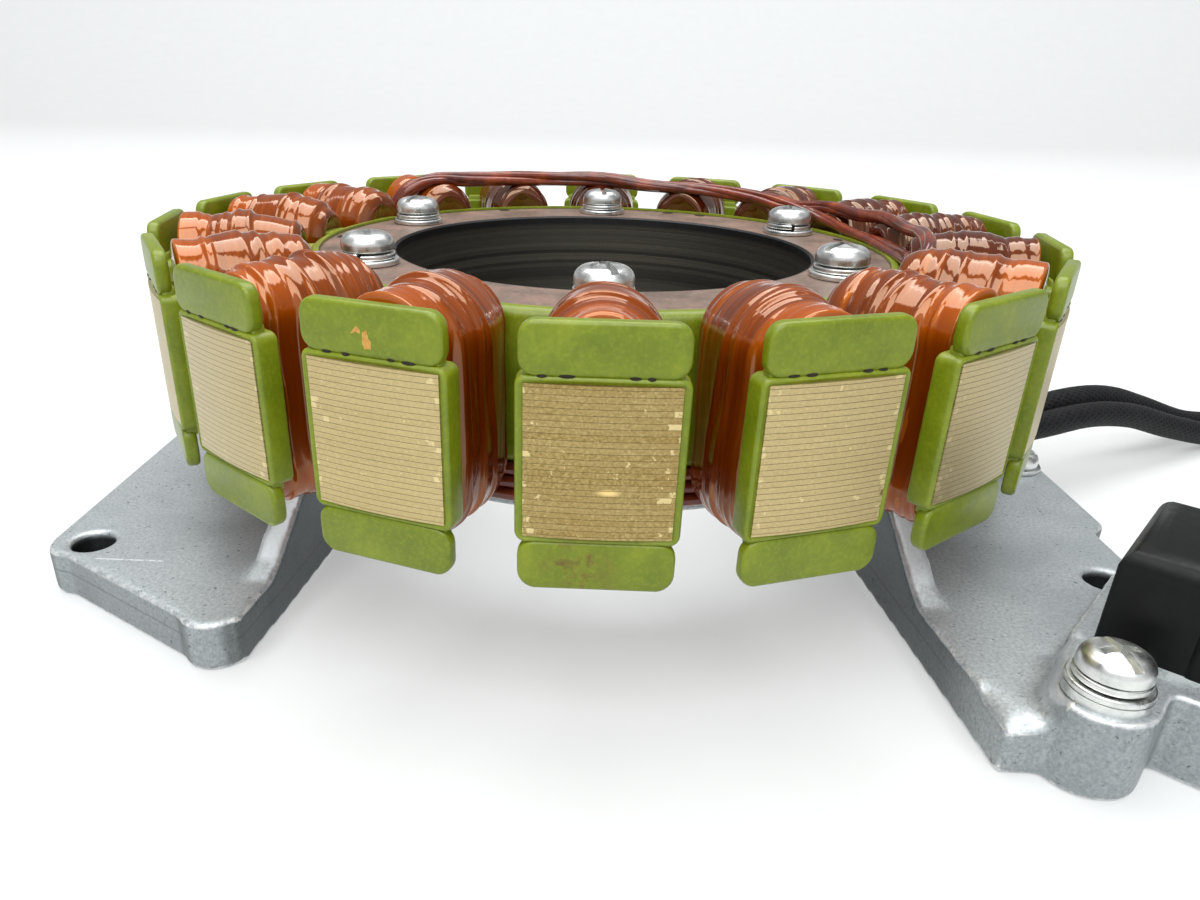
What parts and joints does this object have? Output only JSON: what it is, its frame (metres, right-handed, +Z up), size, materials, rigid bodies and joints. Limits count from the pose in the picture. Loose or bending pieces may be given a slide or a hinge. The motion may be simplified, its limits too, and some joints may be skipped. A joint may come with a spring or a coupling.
{
  "type": "wound stator",
  "caption": "Ring-shaped wound stator with green-coated teeth and varnished copper coils on a two-winged cast base, with a black pickup and sleeved leads.",
  "frame": {"origin": "on the core's axis, half way up the laminations", "axes": "+Z up along the core's axis, -Y to the tooth that faces the viewer, +X to the pickup's side"},
  "size_m": [0.378, 0.2114, 0.074],
  "materials": {
    "cast_aluminium": "die-cast, satin grey with bright worn edges",
    "core_steel": "bare laminated electrical steel with a thin yellowish varnish",
    "coated_plate": "green epoxy coat on the bent tips, varnished bare steel on the ring",
    "green_coat": "satin green epoxy insulation",
    "varnished_wire": "enamelled copper wire under thick amber varnish",
    "zinc_steel": "bright zinc plating",
    "black_resin": "moulded satin black",
    "black_braid": "fine black braided sleeve",
    "connector_plastic": "moulded black nylon"
  },
  "bodies": {
    "root": {"mounting_base": "cast_aluminium", "lamination_stack": "core_steel", "top_end_plate": "coated_plate", "bottom_end_plate": "coated_plate", "insulating_coat": "green_coat", "coil_01": "varnished_wire", "coil_02": "varnished_wire", "coil_03": "varnished_wire", "coil_04": "varnished_wire", "coil_05": "varnished_wire", "coil_06": "varnished_wire", "coil_07": "varnished_wire", "coil_08": "varnished_wire", "coil_09": "varnished_wire", "coil_10": "varnished_wire", "coil_11": "varnished_wire", "coil_12": "varnished_wire", "coil_13": "varnished_wire", "coil_14": "varnished_wire", "coil_15": "varnished_wire", "coil_16": "varnished_wire", "coil_17": "varnished_wire", "coil_18": "varnished_wire", "core_screws": "zinc_steel", "core_spring_washers": "zinc_steel", "core_flat_washers": "zinc_steel", "pickup_body": "black_resin", "pickup_foot_plate": "zinc_steel", "pickup_screw": "zinc_steel", "pickup_spring_washer": "zinc_steel", "pickup_flat_washer": "zinc_steel", "earth_screw": "zinc_steel", "earth_washer": "zinc_steel", "jumper_wires": "varnished_wire", "neutral_bundle": "varnished_wire", "lead_upper": "black_braid", "lead_lower": "black_braid", "lead_connector": "connector_plastic"}
  },
  "joints": []
}
